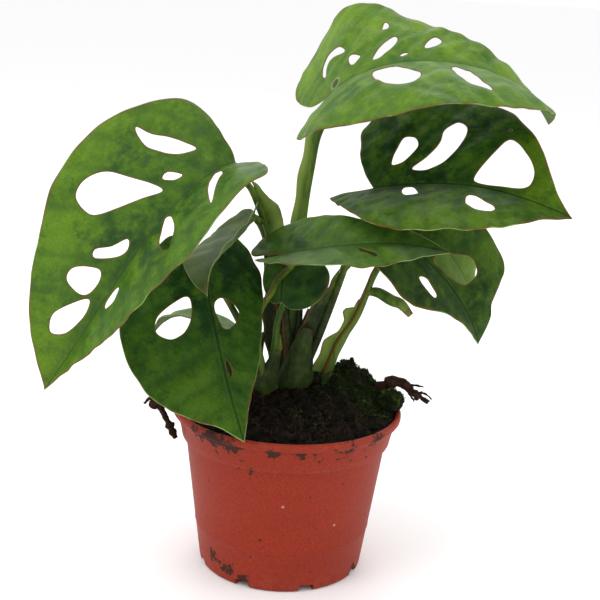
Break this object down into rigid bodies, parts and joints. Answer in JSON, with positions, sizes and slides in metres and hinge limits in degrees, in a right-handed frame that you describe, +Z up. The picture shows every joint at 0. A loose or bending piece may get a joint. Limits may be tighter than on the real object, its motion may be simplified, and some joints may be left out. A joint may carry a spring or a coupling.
{
  "type": "monstera adansonii",
  "caption": "Small potted climbing aroid with arching heart-shaped leaves pierced by oval holes, on slender sheathed petioles, in a clay-red nursery pot of dark soil.",
  "frame": {"origin": "middle of the pot's foot, on the surface that the pot stands on", "axes": "+X to the right seen from the front, +Y away from the front, +Z up"},
  "size_m": [0.186, 0.1143, 0.2202],
  "materials": {
    "pot": "clay-red moulded plastic with a fine speckle, scuffs and dry soil smudges",
    "soil": "dark crumbly peat with a green bloom of moss on its bump and dry roots over the rim",
    "petiole": "smooth green stalk with brown-red edges and thin pale sheaths",
    "blade": "deep green leaf skin with a soft waxy sheen, pale veins and a thin light margin",
    "young_blade": "light yellow-green leaf skin with a soft sheen, pale veins and a thin light margin"
  },
  "bodies": {
    "root": {"pot": "pot", "soil": "soil", "shoot_left": "petiole", "shoot_middle": "petiole", "shoot_right": "petiole", "leaf_left_large": "blade", "leaf_front_low": "blade", "leaf_front_middle": "blade", "leaf_right": "blade", "leaf_right_low": "blade", "leaf_middle_small": "blade", "leaf_left_small": "young_blade", "leaf_top": "young_blade", "leaf_right_back": "young_blade", "leaf_left_back": "young_blade"}
  },
  "joints": []
}
